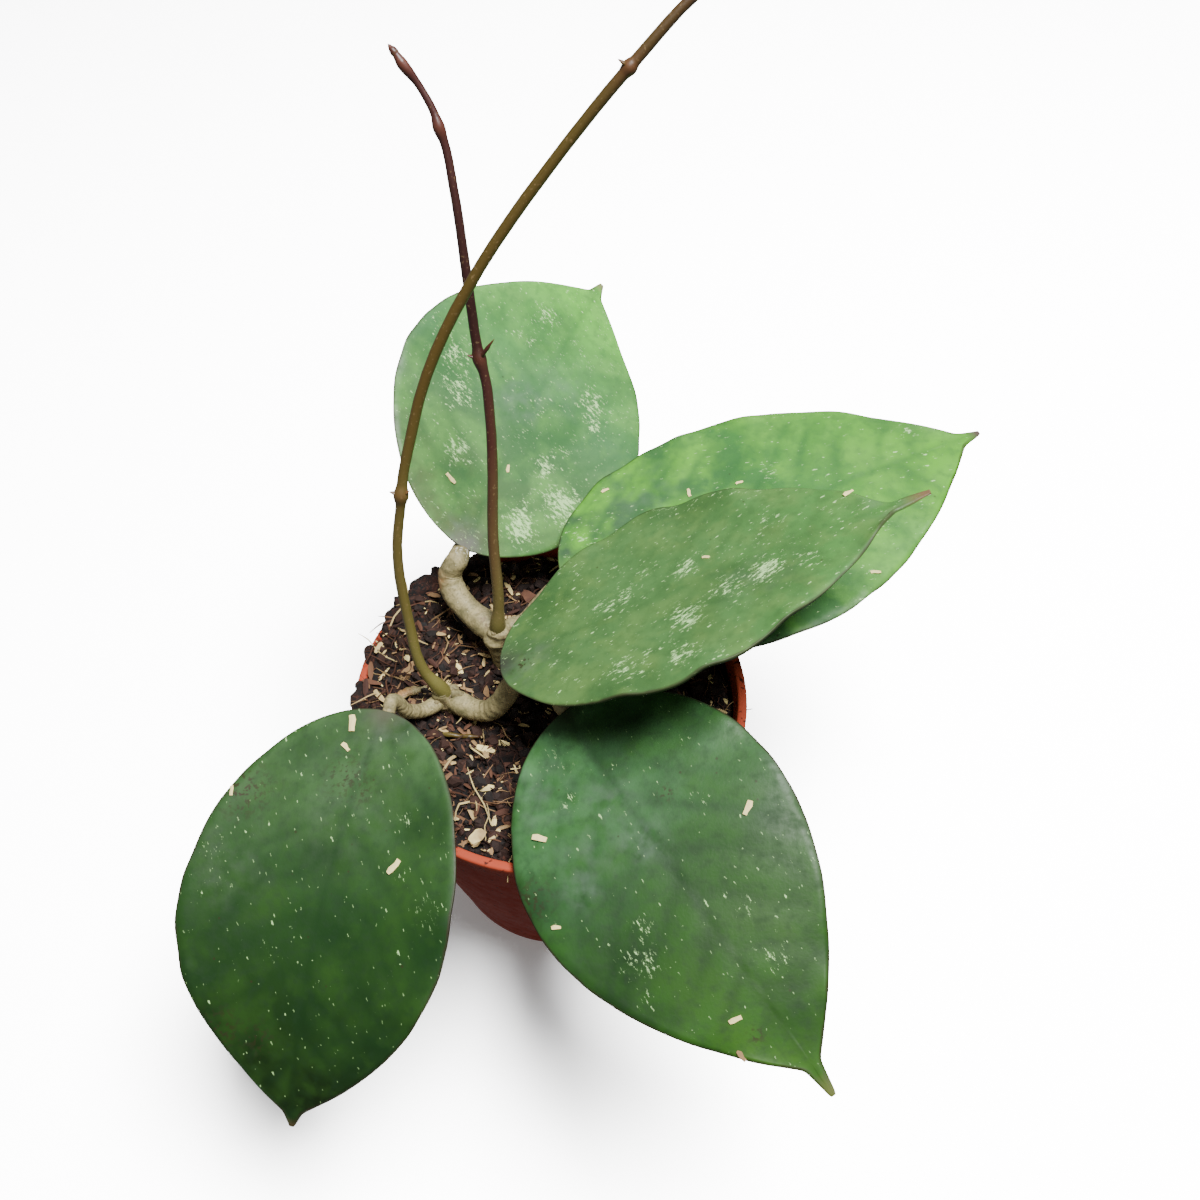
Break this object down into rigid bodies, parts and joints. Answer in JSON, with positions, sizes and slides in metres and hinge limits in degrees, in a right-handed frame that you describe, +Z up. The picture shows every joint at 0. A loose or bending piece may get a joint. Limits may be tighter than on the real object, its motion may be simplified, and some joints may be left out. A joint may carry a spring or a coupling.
{
  "type": "potted hoya plant",
  "caption": "Hoya with broad pointed leaves on thick cream stalks and long bare shoots, growing in compost in a round tapered nursery pot.",
  "frame": {"origin": "centre of the pot's flat underside", "axes": "+Z up, +X to the right and +Y away from the front, where the two front leaves hang over the rim"},
  "size_m": [0.2363, 0.2624, 0.2915],
  "materials": {
    "pot_plastic": "satin",
    "compost": "matte",
    "leaf_pale": "satin",
    "leaf_quilted": "satin",
    "leaf_mid": "satin",
    "leaf_deep": "satin",
    "leaf_dark": "satin",
    "cream_stalk": "matte",
    "purple_shoot": "satin",
    "olive_shoot": "satin",
    "bark": "matte"
  },
  "bodies": {
    "root": {"bark_chip_back": "bark", "bark_chip_front": "bark", "bark_chip_left": "bark", "bark_chip_middle": "bark", "bark_chip_right": "bark", "green_twig": "olive_shoot", "leaf_back": "leaf_pale", "leaf_back_right": "leaf_quilted", "leaf_front_left": "leaf_dark", "leaf_front_right": "leaf_deep", "leaf_top_right": "leaf_mid", "olive_bract_left": "olive_shoot", "olive_bract_right": "olive_shoot", "olive_bud": "olive_shoot", "olive_tip_bud": "olive_shoot", "papery_strand": "bark", "pot": "pot_plastic", "purple_bract": "purple_shoot", "purple_bud": "purple_shoot", "purple_tip_bud": "purple_shoot", "shoot_olive": "olive_shoot", "shoot_purple": "purple_shoot", "soil": "compost", "stalk_back": "cream_stalk", "stalk_back_right": "cream_stalk", "stalk_front_left": "cream_stalk", "stalk_front_right": "cream_stalk", "stalk_top_right": "cream_stalk", "stem_back": "cream_stalk", "stem_bud": "cream_stalk", "stem_front": "cream_stalk", "stem_hidden": "cream_stalk"}
  },
  "joints": []
}
